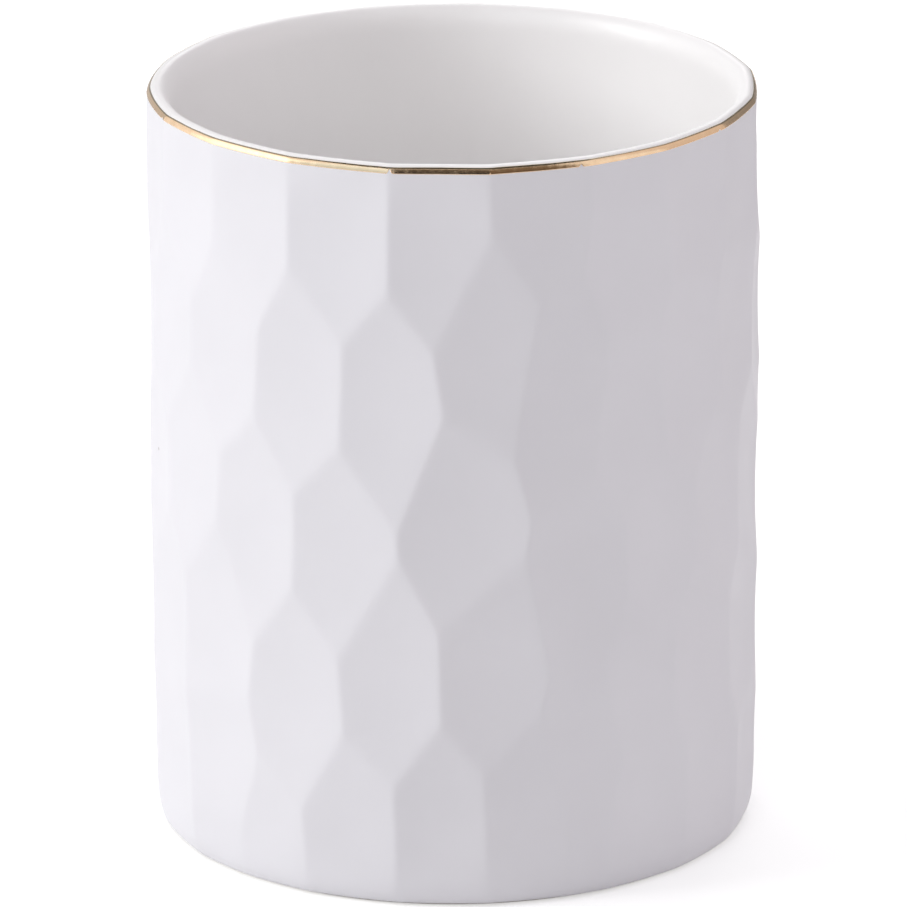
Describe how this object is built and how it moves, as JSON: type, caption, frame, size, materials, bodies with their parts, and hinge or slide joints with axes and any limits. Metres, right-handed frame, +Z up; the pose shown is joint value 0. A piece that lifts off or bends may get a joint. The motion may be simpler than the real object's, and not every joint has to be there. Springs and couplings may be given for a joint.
{
  "type": "toothbrush holder",
  "caption": "Round ceramic tumbler for toothbrushes, open at the top, with a scooped hexagonal pattern outside and a gold line on the lip.",
  "frame": {"origin": "centre of the foot ring, on the surface the cup stands on", "axes": "+Z up along the axis of the cup, -Y towards the side that the picture shows"},
  "size_m": [0.0806, 0.0805, 0.1],
  "materials": {
    "fired_clay": "unglazed, fine grained",
    "matt_white_glaze": "silky matt",
    "gloss_white_glaze": "glossy",
    "gold_lustre": "bright fired lustre"
  },
  "bodies": {
    "root": {"ceramic_body": "fired_clay", "outer_matt_glaze": "matt_white_glaze", "inner_gloss_glaze": "gloss_white_glaze", "gold_rim_line": "gold_lustre"}
  },
  "joints": []
}
